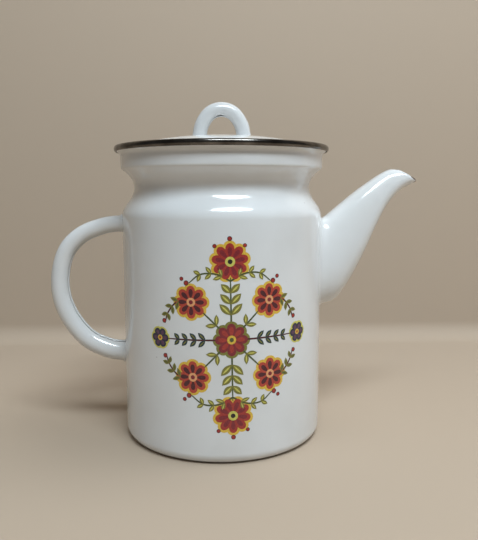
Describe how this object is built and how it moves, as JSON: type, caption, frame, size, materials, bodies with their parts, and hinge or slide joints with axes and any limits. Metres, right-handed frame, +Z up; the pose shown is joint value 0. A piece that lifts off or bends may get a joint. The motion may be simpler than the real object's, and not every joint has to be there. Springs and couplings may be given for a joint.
{
  "type": "enamelled pouring pot",
  "caption": "Cylindrical enamelled steel pot with a stepped collar, a short tapered pouring spout, a curled side handle and a lift-off domed lid with a loop.",
  "frame": {"origin": "middle of the flat base, on the pot's axis", "axes": "+Z up, +X towards the spout, the handle at -X, the decorated side facing -Y"},
  "size_m": [0.2426, 0.1386, 0.2173],
  "materials": {
    "enamel": "white vitreous enamel, glossy, slightly orange-peeled, with small grey specks",
    "stainless": "bright rolled stainless steel, tarnished brown-grey",
    "decal": "fired multicolour folk-flower transfer under gloss"
  },
  "bodies": {
    "pot": {"pot_body": "enamel", "rim_trim_ring": "stainless", "spout_left_half": "enamel", "spout_right_half": "enamel", "handle": "enamel"},
    "lid": {"lid_cover": "enamel", "lid_loop": "enamel"}
  },
  "joints": [
    {"name": "lid_lift", "type": "slide", "parent": "pot", "child": "lid", "axis": [0, 0, 1], "range_m": [0, 0.06]}
  ]
}
